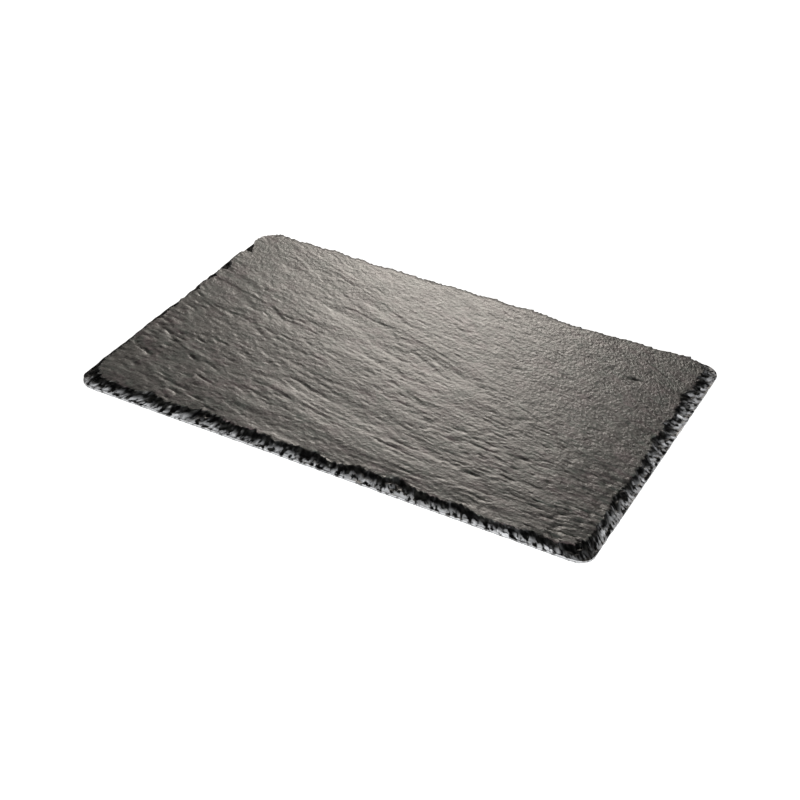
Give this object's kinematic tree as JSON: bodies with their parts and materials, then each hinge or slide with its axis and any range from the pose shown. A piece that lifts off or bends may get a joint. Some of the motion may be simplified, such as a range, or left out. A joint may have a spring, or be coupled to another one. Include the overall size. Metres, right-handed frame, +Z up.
{
  "type": "slate slab",
  "caption": "Thin rectangular slab of dark slate with a riven, grain-streaked top, ragged chipped edges and a flat underside to rest on.",
  "frame": {"origin": "middle of the slab's footprint, on the plane of the underside", "axes": "+X along the long edges, to the right in the picture; +Y towards the far long edge; +Z up out of the riven top"},
  "size_m": [0.3, 0.2, 0.005],
  "materials": {
    "slate": "riven, low sheen, dark grey with paler bruised chips along the rim"
  },
  "bodies": {
    "root": {"slate_slab": "slate"}
  },
  "joints": []
}
